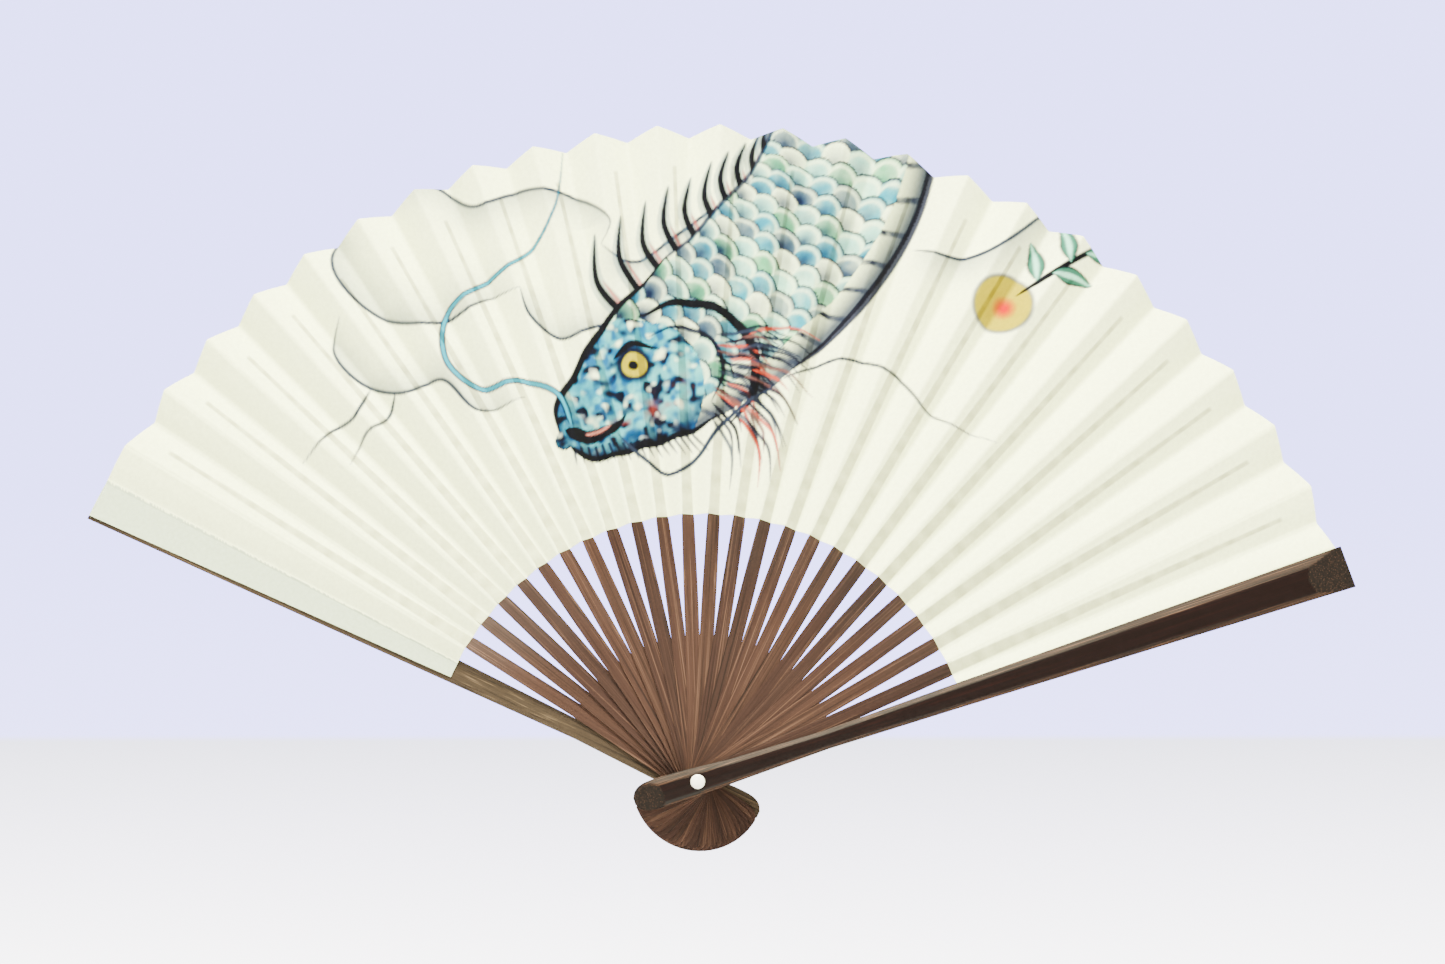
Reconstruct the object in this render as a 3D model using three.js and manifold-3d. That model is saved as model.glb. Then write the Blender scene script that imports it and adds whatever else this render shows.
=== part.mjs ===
// Folding paper fan, open, in millimetres.
// The origin is on the axis of the rivet, in the middle of the stack of sticks.
// +Z runs up the middle of the open leaf, +X to the right, and the painted face looks along -Y.
// Sticks are numbered from the back guard, stick 0 on the left, to the front guard, stick 24 on the right.
import * as THREE from "three";
import { mergeVertices } from "three/addons/utils/BufferGeometryUtils.js";
import Module from "manifold-3d";

const wasm = await Module();
wasm.setup();

// Driving dimensions
const FRONT = 24; // number of the front guard, and of the gaps between sticks
const STICK_PITCH = 0.6; // depth from one stick to the next on the rivet
const BACK_GUARD_ANGLE = 157.7; // directions are in degrees, from +X towards +Z
const FRONT_GUARD_ANGLE = 21.7;
const MIDDLE_RIB_ANGLE = 90.2;
const SPREAD = 60.2; // from the middle rib to the outermost ones, before the next two terms
const SPREAD_SKEW = 0.85; // the right half is opened a little wider
const SPREAD_EASE = 1.46; // gaps grow towards the guards

// Tails, the short ends below the rivet
const TAIL_REACH = 19.6;
const TAIL_ROUND = 9.6; // length of the rounded end
const TAIL_ROUND_POWER = 4; // how blunt it is

// Ribs
const RIB_TAIL_WIDTH = 7.6;
const RIB_WAIST = 30; // where the rib has narrowed to its width above the rivet
const RIB_WIDTH = 4.9;
const RIB_NECK_WIDTH = 4.3; // where the rib meets the leaf
const RIB_THICKNESS = 0.54; // the ribs all but touch on the rivet
const SLIP_WIDTH = 3.7; // the slip is the part of the rib between the two papers
const SLIP_TIP_WIDTH = 1.2;
const SLIP_THICKNESS = 0.22;
const SLIP_REACH = 192;
const TWIST_START = 44;
const TWIST_END = 81;
const TWIST_STEPS = 6;
const MIDDLE_TILT = 31; // degrees between a rib panel of the leaf and the plane of the fan
const TILT_DROP = 14; // the panels beside the guards lie flatter by this

// Leaf
const LEAF_INNER = 82.3;
const RIDGE_REACH = 204.4; // outer end of the folds that stand towards the viewer
const VALLEY_REACH = 201.6; // outer end of the folds between them
const LEAF_THICKNESS = 0.6; // two papers, with room between them for the slips
const SLIP_CLEARANCE = 0.09;
const FOLD_GAP = 0.15; // half of the gap left between two pleats
const END_FOLD_HALF = 1.8; // degrees from a guard's middle to the first fold beside it
const END_EDGE_HALF = 1.5; // the same to the edge of the leaf
const FRONT_TRIM = 1.4; // the leaf ends this far inside the front guard's tip

// Guards
const GUARD_REACH = 204.4;
const GUARD_TAIL_WIDTH = 8.8;
const GUARD_RIVET_WIDTH = 8.2;
const GUARD_SHOULDER = 11;
const GUARD_SHOULDER_WIDTH = 6.9;
const GUARD_WAIST_WIDTH = 5.5;
const GUARD_TAIL_SHIFT = 0.6; // the tail swings out from the row of ribs by this
const GUARD_LEAF_WIDTH = 7.3;
const GUARD_TIP_WIDTH = 12.9;
const GUARD_PIVOT_THICKNESS = 2.4;
const GUARD_LEAF_THICKNESS = 1.7;
const GUARD_BEVEL = 0.24; // share of the width that the bevel beside each edge takes
const GUARD_BEVEL_DEPTH = 0.8;
const GUARD_BOW_START = 40;
const GUARD_BOW_END = 82;
const GUARD_LEAF_ROOM = 2.2; // from the next rib's middle plane to the guard, beside the leaf
const GUARD_PIVOT_ROOM = 0.375; // the same, on the rivet
const TIP_SCARF = 13; // length of the slanting cut at the tip
const TAIL_SCARF = 9;
const SCARF_EDGE = 0.7; // thickness left at the end of a slanting cut

// Rivet
const HOLE_RADIUS = 1.22;
const ROD_RADIUS = 1.15;
const HEAD_RADIUS = 2.15;
const HEAD_HEIGHT = 0.85;
const HEAD_GAP = 0.12;
const ROUND_SIDES = 16;
const HEAD_STEPS = 4;

const radians = THREE.MathUtils.degToRad;

// Where the sticks point and lie
function stickAngle(k) {
  if (k === 0) return BACK_GUARD_ANGLE;
  if (k === FRONT) return FRONT_GUARD_ANGLE;
  const s = (k - FRONT / 2) / (FRONT / 2 - 1);
  return MIDDLE_RIB_ANGLE - SPREAD * s - SPREAD_SKEW * s ** 2 - SPREAD_EASE * s ** 3;
}

function stickDepth(k) {
  return (FRONT / 2 - k) * STICK_PITCH;
}

function panelTilt(k) {
  const s = (k - FRONT / 2) / (FRONT / 2 - 1);
  return radians(MIDDLE_TILT - TILT_DROP * s ** 4);
}

// Half the angle that rib k's panel covers: a quarter of the room between its neighbours' middles
function panelHalf(k) {
  return radians((stickAngle(k - 1) - stickAngle(k + 1)) / 8);
}

// On a guard the fold is on the side of the ribs, and the edge of the leaf on the other
function endHalf(k, side) {
  const isFold = k === 0 ? side < 0 : side > 0;
  return radians(isFold ? END_FOLD_HALF : END_EDGE_HALF);
}

// A box whose corners and stations are moved by place(across, through, along), each from 0 to 1
function warpedBox(acrossSteps, alongSteps, place) {
  const box = new THREE.BoxGeometry(1, 1, 1, acrossSteps, 1, alongSteps);
  const position = box.attributes.position;
  for (let i = 0; i < position.count; i += 1) {
    const p = place(position.getX(i) + 0.5, position.getY(i) + 0.5, position.getZ(i) + 0.5);
    position.setXYZ(i, p.x, p.y, p.z);
  }
  return box;
}

function toManifold(geometry) {
  const bare = geometry.clone();
  bare.deleteAttribute("normal");
  bare.deleteAttribute("uv");
  const merged = mergeVertices(bare, 1e-5);
  const vertProperties = new Float32Array(merged.attributes.position.array);
  const triVerts = new Uint32Array(merged.index.array);
  return new wasm.Manifold(new wasm.Mesh({ numProp: 3, vertProperties, triVerts }));
}

function fromManifold(solid) {
  const mesh = solid.getMesh();
  const geometry = new THREE.BufferGeometry();
  geometry.setAttribute("position", new THREE.BufferAttribute(mesh.vertProperties, 3));
  geometry.setIndex(new THREE.BufferAttribute(mesh.triVerts, 1));
  geometry.computeVertexNormals();
  return geometry;
}

function cut(geometry, tool) {
  return fromManifold(toManifold(geometry).subtract(toManifold(tool)));
}

// The hole is circumscribed about HOLE_RADIUS, so that its flats keep that distance from the axis
function rivetHole() {
  const corner = HOLE_RADIUS / Math.cos(Math.PI / ROUND_SIDES);
  return new THREE.CylinderGeometry(corner, corner, 20, ROUND_SIDES);
}

// Stations along a stick, from tail to tip, as [reach, width] with a blunt rounded tail
function tailStations(width) {
  const shares = [1, 0.97, 0.9, 0.75, 0.5, 0];
  return shares.map((share) => {
    const narrowed = Math.sqrt(1 - Math.min(share, 0.985) ** TAIL_ROUND_POWER);
    return [TAIL_ROUND * (1 - share) - TAIL_REACH, width * narrowed];
  });
}

function between(x, table) {
  const at = table.findIndex((row) => row[0] >= x);
  if (at <= 0) return table[0][1];
  const [x0, y0] = table[at - 1];
  const [x1, y1] = table[at];
  return y0 + ((y1 - y0) * (x - x0)) / (x1 - x0);
}

// Ribs, each standing along +Z, and turned to its direction when it is placed
function ribTwist(reach, tilt) {
  const t = THREE.MathUtils.clamp((reach - TWIST_START) / (TWIST_END - TWIST_START), 0, 1);
  return tilt * t * t * (3 - 2 * t);
}

function ribStations() {
  const stations = tailStations(RIB_TAIL_WIDTH);
  stations.push([RIB_WAIST, RIB_WIDTH]);
  for (let i = 0; i <= TWIST_STEPS; i += 1) {
    const reach = TWIST_START + ((TWIST_END - TWIST_START) * i) / TWIST_STEPS;
    stations.push([reach, RIB_NECK_WIDTH]);
  }
  stations.push([LEAF_INNER + 2, SLIP_WIDTH], [SLIP_REACH, SLIP_TIP_WIDTH]);
  return stations;
}

function ribGeometry(tilt) {
  const stations = ribStations();
  const thickness = [
    [-TAIL_REACH, RIB_THICKNESS],
    [TWIST_START, RIB_THICKNESS],
    [TWIST_END, SLIP_THICKNESS],
    [SLIP_REACH, SLIP_THICKNESS],
  ];
  const last = stations.length - 1;
  const blank = warpedBox(1, last, (across, through, along) => {
    const [reach, width] = stations[Math.round(along * last)];
    const twist = ribTwist(reach, tilt);
    const u = (across - 0.5) * width;
    const v = (through - 0.5) * between(reach, thickness);
    const x = u * Math.cos(twist) - v * Math.sin(twist);
    const y = u * Math.sin(twist) + v * Math.cos(twist);
    return new THREE.Vector3(x, y, reach);
  });
  return cut(blank, rivetHole());
}

// Guards, standing along +Z with the inner face at the given side: +1 faces +Y, -1 faces -Y
function guardStations() {
  return [
    ...tailStations(GUARD_TAIL_WIDTH),
    [0, GUARD_RIVET_WIDTH],
    [GUARD_SHOULDER, GUARD_SHOULDER_WIDTH],
    [GUARD_BOW_START, GUARD_WAIST_WIDTH],
    [(GUARD_BOW_START + GUARD_BOW_END) / 2, (GUARD_WAIST_WIDTH + GUARD_LEAF_WIDTH) / 2],
    [GUARD_BOW_END, GUARD_LEAF_WIDTH],
    [GUARD_REACH - TIP_SCARF, GUARD_TIP_WIDTH - 0.6],
    [GUARD_REACH, GUARD_TIP_WIDTH],
  ];
}

function guardInnerDepth(reach) {
  return between(reach, [
    [-TAIL_REACH, GUARD_PIVOT_ROOM],
    [GUARD_BOW_START, GUARD_PIVOT_ROOM],
    [GUARD_BOW_END, GUARD_LEAF_ROOM],
    [GUARD_REACH, GUARD_LEAF_ROOM],
  ]);
}

function guardShift(reach) {
  return between(reach, [
    [TAIL_ROUND - TAIL_REACH, GUARD_TAIL_SHIFT],
    [0, GUARD_TAIL_SHIFT / 2],
    [GUARD_SHOULDER, 0],
    [GUARD_REACH, 0],
  ]);
}

function guardThickness(reach) {
  return between(reach, [
    [-TAIL_REACH, SCARF_EDGE],
    [TAIL_SCARF - TAIL_REACH, GUARD_PIVOT_THICKNESS],
    [GUARD_BOW_START, GUARD_PIVOT_THICKNESS],
    [GUARD_BOW_END, GUARD_LEAF_THICKNESS],
    [GUARD_REACH - TIP_SCARF, GUARD_LEAF_THICKNESS],
    [GUARD_REACH, SCARF_EDGE],
  ]);
}

// Across the guard: edge, bevel line, bevel line, edge
function guardGeometry(side) {
  const stations = guardStations();
  const last = stations.length - 1;
  const blank = warpedBox(3, last, (across, through, along) => {
    const [reach, width] = stations[Math.round(along * last)];
    const column = Math.round(across * 3);
    const share = [-0.5, GUARD_BEVEL - 0.5, 0.5 - GUARD_BEVEL, 0.5][column];
    const u = share * width - side * guardShift(reach);
    const onEdge = column === 0 || column === 3;
    const bevel = onEdge ? Math.min(GUARD_BEVEL_DEPTH, guardThickness(reach) / 2) : 0;
    const inner = guardInnerDepth(reach);
    const outer = inner + guardThickness(reach) - bevel;
    const isInner = (through > 0.5) === side > 0;
    return new THREE.Vector3(u, -side * (isInner ? inner : outer), reach);
  });
  return cut(blank, rivetHole());
}

function placeStick(mesh, k, depth) {
  mesh.rotation.y = radians(90 - stickAngle(k));
  mesh.position.y = depth;
  return mesh;
}

// Leaf. A fold line leaves the rivet's axis at its stick's depth, so that a rib's panel is flat.
function foldPoint(k, side, reach, shift) {
  const onGuard = k === 0 || k === FRONT;
  const half = onGuard ? endHalf(k, side) : panelHalf(k);
  const angle = radians(stickAngle(k)) + side * half;
  let depth = stickDepth(k) - side * reach * Math.tan(half) * Math.tan(panelTilt(k));
  if (k === 0) depth = endPanelDepth(1, 1);
  if (k === FRONT) depth = endPanelDepth(FRONT - 1, -1);
  const radial = new THREE.Vector3(Math.cos(angle), 0, Math.sin(angle));
  const clockwise = new THREE.Vector3(Math.sin(angle), 0, -Math.cos(angle));
  const point = radial.multiplyScalar(reach).addScaledVector(clockwise, shift);
  point.y = depth;
  return point;
}

// The end panels lie flat against the guards
function endPanelDepth(nextRib, side) {
  return stickDepth(nextRib) + side * (GUARD_LEAF_ROOM - 0.3 - LEAF_THICKNESS / 2);
}

function leafReach(k, side) {
  if (k === 0) return RIDGE_REACH;
  if (k === FRONT) return RIDGE_REACH - FRONT_TRIM;
  return side > 0 ? RIDGE_REACH : VALLEY_REACH;
}

// One pleat is a list of folds across it, each as [stick, side, shift], side +1 for a ridge
function pleatGeometry(folds) {
  const steps = folds.length - 1;
  return warpedBox(steps, 1, (across, through, along) => {
    const [k, side, shift] = folds[Math.round(across * steps)];
    const p = foldPoint(k, side, along > 0.5 ? leafReach(k, side) : LEAF_INNER, shift);
    const slant = k === 0 || k === FRONT ? 1 : Math.cos(panelTilt(k));
    p.y += ((through - 0.5) * LEAF_THICKNESS) / slant;
    return p;
  });
}

// The pocket for the slip opens at the leaf's inner edge and ends past the slip's tip
function slipPocket(k) {
  const tilt = panelTilt(k);
  const pocket = warpedBox(1, 1, (across, through, along) => {
    const width = (along > 0.5 ? SLIP_TIP_WIDTH : RIB_NECK_WIDTH) + 2 * SLIP_CLEARANCE;
    const u = (across - 0.5) * width;
    const v = (through - 0.5) * (SLIP_THICKNESS + 2 * SLIP_CLEARANCE);
    const reach = along > 0.5 ? SLIP_REACH + 1 : LEAF_INNER - 3;
    const x = u * Math.cos(tilt) - v * Math.sin(tilt);
    const y = u * Math.sin(tilt) + v * Math.cos(tilt);
    return new THREE.Vector3(x, y, reach);
  });
  pocket.rotateY(radians(90 - stickAngle(k)));
  pocket.translate(0, stickDepth(k), 0);
  return pocket;
}

// Pleat k is rib k's panel and the free panel after it; the first and last hold a guard's panel
function leafPleat(k) {
  if (k === 0) return pleatGeometry([[0, 1, 0], [0, -1, 0], [1, 1, -FOLD_GAP]]);
  if (k === FRONT) return pleatGeometry([[k, 1, FOLD_GAP], [k, -1, 0]]);
  const bent = pleatGeometry([[k, 1, FOLD_GAP], [k, -1, 0], [k + 1, 1, -FOLD_GAP]]);
  return cut(bent, slipPocket(k));
}

// Rivet: a rod with a domed head on each side, turned about the Y axis
function rivetGeometry() {
  const face = stickDepth(1) + GUARD_PIVOT_ROOM + GUARD_PIVOT_THICKNESS + HEAD_GAP;
  const dome = [];
  for (let i = 0; i <= HEAD_STEPS; i += 1) {
    const a = (Math.PI / 2) * (i / HEAD_STEPS);
    dome.push(new THREE.Vector2(HEAD_RADIUS * Math.sin(a), face + HEAD_HEIGHT * Math.cos(a)));
  }
  dome[0].x = 0;
  const half = [...dome, new THREE.Vector2(ROD_RADIUS, face)];
  const mirrored = half.map((p) => new THREE.Vector2(p.x, -p.y)).reverse();
  const profile = [...half, ...mirrored].reverse();
  return new THREE.LatheGeometry(profile, ROUND_SIDES);
}

// Materials
const look = (color, roughness) => new THREE.MeshStandardMaterial({ color, roughness, metalness: 0 });
const ribTones = ["#6f4f3e", "#684939", "#775545", "#634636", "#7a5241"];

function named(name, geometry, material) {
  const mesh = new THREE.Mesh(geometry, material);
  mesh.name = name;
  return mesh;
}

const number = (k) => String(k).padStart(2, "0");
const fan = new THREE.Group();

const frontGuard = named("front_guard", guardGeometry(1), look("#2a1813", 0.25));
fan.add(placeStick(frontGuard, FRONT, stickDepth(FRONT - 1)));
const backGuard = named("back_guard", guardGeometry(-1), look("#5a4738", 0.5));
fan.add(placeStick(backGuard, 0, stickDepth(1)));
fan.add(named("rivet", rivetGeometry(), look("#efede6", 0.35)));

for (let k = 1; k < FRONT; k += 1) {
  const rib = named(`rib_${number(k)}`, ribGeometry(panelTilt(k)), look(ribTones[k % 5], 0.55));
  fan.add(placeStick(rib, k, stickDepth(k)));
}
for (let k = 0; k <= FRONT; k += 1) {
  fan.add(named(`leaf_pleat_${number(k)}`, leafPleat(k), look("#f6f5e8", 0.85)));
}

export default fan;
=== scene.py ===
"""Folding paper fan: the looks of its bamboo sticks, rivet and pleated leaf.

Shapes are worked out in millimetres and made in metres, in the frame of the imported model: the origin is on
the rivet's axis, +Z runs up the middle of the open leaf, and the painted face looks along -Y.
Sticks are numbered from the back guard, stick 0 on the left, to the front guard, stick 24 on the right.
"""
import math

import bmesh
import bpy
import numpy as np
from mathutils import Matrix, Vector


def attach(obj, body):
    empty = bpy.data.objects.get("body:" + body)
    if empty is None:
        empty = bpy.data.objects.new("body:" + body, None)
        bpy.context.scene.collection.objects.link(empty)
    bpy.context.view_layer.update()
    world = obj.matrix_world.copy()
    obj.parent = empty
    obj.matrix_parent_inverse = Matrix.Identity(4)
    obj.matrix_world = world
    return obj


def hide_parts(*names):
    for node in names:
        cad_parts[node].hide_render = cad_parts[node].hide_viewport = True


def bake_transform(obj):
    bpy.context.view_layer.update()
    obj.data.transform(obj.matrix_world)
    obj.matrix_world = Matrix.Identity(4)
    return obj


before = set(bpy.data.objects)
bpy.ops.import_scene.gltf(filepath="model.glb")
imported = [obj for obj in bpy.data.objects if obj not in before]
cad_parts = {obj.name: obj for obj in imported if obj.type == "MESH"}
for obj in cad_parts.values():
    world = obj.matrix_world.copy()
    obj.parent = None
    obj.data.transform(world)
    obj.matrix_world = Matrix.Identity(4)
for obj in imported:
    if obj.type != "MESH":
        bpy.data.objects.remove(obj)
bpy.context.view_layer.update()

MM = 0.001

# Where the sticks lie, as in the frame
FRONT = 24
STICK_PITCH = 0.6
BACK_GUARD_ANGLE = 157.7
FRONT_GUARD_ANGLE = 21.7
MIDDLE_RIB_ANGLE = 90.2
SPREAD = 60.2
SPREAD_SKEW = 0.85
SPREAD_EASE = 1.46

# Sticks
TAIL_REACH = 19.6
TAIL_ROUND = 9.6
TAIL_ROUND_POWER = 4
HOLE_RADIUS = 1.22
RIB_THICKNESS = 0.54
SLIP_THICKNESS = 0.12
SLIP_REACH = 192
TWIST_START = 44
TWIST_END = 81
MIDDLE_TILT = 31
TILT_DROP = 14
GUARD_REACH = 204.4
GUARD_TAIL_SHIFT = 0.6
GUARD_PIVOT_ROOM = 0.375
GUARD_LEAF_ROOM = 2.2
TIP_SCARF = 13
TAIL_SCARF = 9
SCARF_EDGE = 0.7

# Leaf
LEAF_INNER = 82.3
RIDGE_REACH = 204.4
VALLEY_REACH = 201.6
PAPER = 0.24  # both papers together
END_FOLD_HALF = 1.8
END_EDGE_HALF = 1.5
FRONT_TRIM = 1.4
GLUE_GAP = 0.05
FOLD_ROUND = 0.8  # distance from a fold over which it is rounded
PANEL_BULGE = 0.22
SLIP_RELIEF = 0.1  # how far a slip lifts the paper over it

# Rivet
ROD_RADIUS = 1.15
HEAD_RADIUS = 2.15
HEAD_HEIGHT = 0.85
HEAD_GAP = 0.12


def smooth(t):
    t = np.clip(t, 0, 1)
    return t * t * (3 - 2 * t)


def stick_angle(k):
    """Direction of stick k in degrees, from +X towards +Z."""
    if k == 0:
        return BACK_GUARD_ANGLE
    if k == FRONT:
        return FRONT_GUARD_ANGLE
    s = (k - FRONT / 2) / (FRONT / 2 - 1)
    return MIDDLE_RIB_ANGLE - SPREAD * s - SPREAD_SKEW * s**2 - SPREAD_EASE * s**3


def stick_depth(k):
    return (FRONT / 2 - k) * STICK_PITCH


def stick_body(k):
    if k == 0:
        return "back_guard"
    if k == FRONT:
        return "front_guard"
    return f"rib_{k:02d}"


def panel_tilt(k):
    """Angle between a rib's panel of the leaf and the plane of the fan, in radians."""
    s = (k - FRONT / 2) / (FRONT / 2 - 1)
    return math.radians(MIDDLE_TILT - TILT_DROP * s**4)


def panel_half(k, side):
    """Angle from stick k to the fold beside it, towards the viewer's left at side 1 and right at side -1."""
    if k in (0, FRONT):
        is_fold = side < 0 if k == 0 else side > 0
        return math.radians(END_FOLD_HALF if is_fold else END_EDGE_HALF)
    return math.radians((stick_angle(k - 1) - stick_angle(k + 1)) / 8)


def turned(across, depth, reach, angle):
    """Points of a stick that stands along +Z, turned to its direction, in millimetres."""
    c, s = math.cos(math.radians(angle)), math.sin(math.radians(angle))
    depth = np.broadcast_to(depth, np.shape(reach))
    return np.stack([across * s + reach * c, depth, reach * s - across * c], axis=-1)


def up_the_leaf(reach):
    """How far a reach lies up the leaf, from 0 at its inner edge to 1 at its ridges."""
    return np.clip((reach - LEAF_INNER) / (RIDGE_REACH - LEAF_INNER), 0, 1)


# Meshes
def new_object(name, mesh):
    piece = bpy.data.objects.new(name, mesh)
    bpy.context.scene.collection.objects.link(piece)
    return piece


def points_of(mesh):
    flat = np.zeros(len(mesh.vertices) * 3)
    mesh.vertices.foreach_get("co", flat)
    return flat.reshape(-1, 3)


def closed_slab(name, columns, rows, place, layered=False):
    """A closed slab of columns by rows cells, with points at place(across, through, along), each 0 to 1.

    A layered slab keeps through, 0 on the painted face and 1 on the back, as its attribute "behind".
    """
    bm = bmesh.new()
    bmesh.ops.create_grid(bm, x_segments=columns, y_segments=rows, size=0.5)
    bmesh.ops.solidify(bm, geom=bm.faces[:], thickness=1)
    mesh = bpy.data.meshes.new(name)
    bm.to_mesh(mesh)
    box = points_of(mesh)
    low, high = box.min(axis=0), box.max(axis=0)
    across, along, through = ((box - low) / (high - low)).T
    mesh.vertices.foreach_set("co", (place(across, through, along) * MM).ravel())
    if layered:
        mesh.attributes.new("behind", "FLOAT", "POINT").data.foreach_set("value", through)
    bm.clear()
    bm.from_mesh(mesh)
    bmesh.ops.recalc_face_normals(bm, faces=bm.faces[:])
    bm.to_mesh(mesh)
    bm.free()
    return new_object(name, mesh)


def stations(*stretches):
    """Places along a stick: each stretch is (start, end, step)."""
    parts = [np.arange(start, end, step) for start, end, step in stretches]
    return np.concatenate([*parts, [stretches[-1][1]]])


def tail_narrowing(reach):
    """Share of its width that a stick keeps in the rounded end of its tail."""
    t = np.clip((TAIL_ROUND - TAIL_REACH - reach) / TAIL_ROUND, 0, 0.985)
    return np.sqrt(1 - t**TAIL_ROUND_POWER)


def drill(piece):
    """Cuts the rivet's hole."""
    bm = bmesh.new()
    bmesh.ops.create_cone(
        bm, cap_ends=True, segments=32, radius1=HOLE_RADIUS * MM, radius2=HOLE_RADIUS * MM, depth=40 * MM
    )
    bmesh.ops.rotate(bm, verts=bm.verts[:], matrix=Matrix.Rotation(math.pi / 2, 3, "X"))
    mesh = bpy.data.meshes.new("bit")
    bm.to_mesh(mesh)
    bm.free()
    bit = new_object("bit", mesh)
    hole = piece.modifiers.new("hole", "BOOLEAN")
    hole.object = bit
    hole.operation = "DIFFERENCE"
    drilled = bpy.data.meshes.new_from_object(piece.evaluated_get(bpy.context.evaluated_depsgraph_get()))
    drilled.name = piece.name
    piece.modifiers.clear()
    piece.data = drilled
    bpy.data.objects.remove(bit)


def ease_edges(piece, width):
    """Rounds the sharp edges, and shades the rest smooth."""
    piece.data.shade_smooth()
    piece.data.set_sharp_from_angle(angle=math.radians(35))
    edge = piece.modifiers.new("eased_edges", "BEVEL")
    edge.width = width * MM
    edge.segments = 2
    edge.limit_method = "ANGLE"
    edge.angle_limit = math.radians(35)


# Sticks
RIB_STATIONS = stations(
    (-TAIL_REACH, -18, 0.2), (-18, -10, 0.8), (-10, 44, 3), (44, 82, 1), (82, SLIP_REACH, 5)
)
GUARD_STATIONS = stations(
    (-TAIL_REACH, -17, 0.2), (-17, -8, 0.4), (-8, 40, 2), (40, 186, 2), (186, GUARD_REACH, 0.4)
)
SLIP_ROOT = 84.3  # where the rib has narrowed to the slip
SLIP_WIDTH = 3.7
SLIP_TIP_WIDTH = 1.2
RIB_WIDTH_AT = [-10, 30, 44, 81, SLIP_ROOT, SLIP_REACH]
RIB_WIDTHS = [7.6, 4.9, 4.3, 4.3, SLIP_WIDTH, SLIP_TIP_WIDTH]
RIB_THICKNESS_AT = [TWIST_START, LEAF_INNER - 3, LEAF_INNER]
RIB_THICKNESSES = [RIB_THICKNESS, 0.3, SLIP_THICKNESS]
RIB_EASE = 0.09


def rib_points(k):
    tilt = panel_tilt(k)

    def place(across, through, along):
        reach = RIB_STATIONS[np.round(along * (len(RIB_STATIONS) - 1)).astype(int)]
        width = np.interp(reach, RIB_WIDTH_AT, RIB_WIDTHS)
        thickness = np.interp(reach, RIB_THICKNESS_AT, RIB_THICKNESSES)
        twist = tilt * smooth((reach - TWIST_START) / (TWIST_END - TWIST_START))
        u = (across - 0.5) * width * tail_narrowing(reach)
        v = (through - 0.5) * thickness
        x = u * np.cos(twist) - v * np.sin(twist)
        y = u * np.sin(twist) + v * np.cos(twist) + stick_depth(k) - PANEL_BULGE * up_the_leaf(reach)
        return turned(x, y, reach, stick_angle(k))

    return place


def make_rib(k):
    piece = closed_slab(f"bamboo_rib_{k:02d}", 8, len(RIB_STATIONS) - 1, rib_points(k))
    drill(piece)
    ease_edges(piece, RIB_EASE)
    return piece


# A guard's outer face, across it: height below the crown as a share of the bevel's depth
GUARD_PROFILE_AT = [0, 0.03, 0.22, 0.27, 0.55, 0.86, 0.91, 1]
GUARD_PROFILE = [0.95, 0.85, 0.2, 0.12, 0, 0.1, 0.22, 0.75]
GUARD_BEVEL_DEPTH = 1.0
GUARD_BOW = [40, 82]  # from the rivet's stack to the wider room beside the leaf
GUARD_THICKNESSES = [2.4, 1.7]
TIP_CUT_AT = [GUARD_REACH - 2 * TIP_SCARF, GUARD_REACH - TIP_SCARF, GUARD_REACH]
TIP_CUT = [3, 1.7, 0.6]
GUARD_WIDTH_AT = [-10, 0, 11, 40, 61, 82, GUARD_REACH - TIP_SCARF, GUARD_REACH]
GUARD_WIDTHS = [8.8, 8.2, 6.9, 5.5, 6.4, 7.3, 12.3, 12.9]


def guard_faces(reach, across):
    """Depth of a guard's inner and outer face from its neighbour's middle, and the scarf's cut."""
    inner = np.interp(reach, GUARD_BOW, [GUARD_PIVOT_ROOM, GUARD_LEAF_ROOM])
    thickness = np.interp(reach, GUARD_BOW, GUARD_THICKNESSES)
    bevelled = thickness - GUARD_BEVEL_DEPTH * np.interp(across, GUARD_PROFILE_AT, GUARD_PROFILE)
    tail_cut = np.interp(reach, [-TAIL_REACH, TAIL_SCARF - TAIL_REACH, 0], [SCARF_EDGE, 2.4, 4.4])
    tip_cut = np.interp(reach, TIP_CUT_AT, TIP_CUT)
    cut = np.minimum(tail_cut, tip_cut)
    return inner, inner + np.minimum(bevelled, cut), bevelled - cut


def guard_width(reach):
    return np.interp(reach, GUARD_WIDTH_AT, GUARD_WIDTHS)


def guard_points(k):
    side = 1 if k == FRONT else -1
    depth = stick_depth(FRONT - 1 if k == FRONT else 1)

    def place(across, through, along):
        reach = GUARD_STATIONS[np.round(along * (len(GUARD_STATIONS) - 1)).astype(int)]
        shift = np.interp(reach, [-10, 0, 11], [GUARD_TAIL_SHIFT, GUARD_TAIL_SHIFT / 2, 0])
        u = (across - 0.5) * guard_width(reach) * tail_narrowing(reach)
        from_ribs = across if side > 0 else 1 - across
        inner, outer, _ = guard_faces(reach, from_ribs)
        v = np.where(through > 0.5, inner, outer)
        return turned(u - side * shift, depth - side * v, reach, stick_angle(k))

    return place


# Finishes on a guard, in the order of its material slots
LACQUER, SHAVED, END_GRAIN, INNER = range(4)


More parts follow.
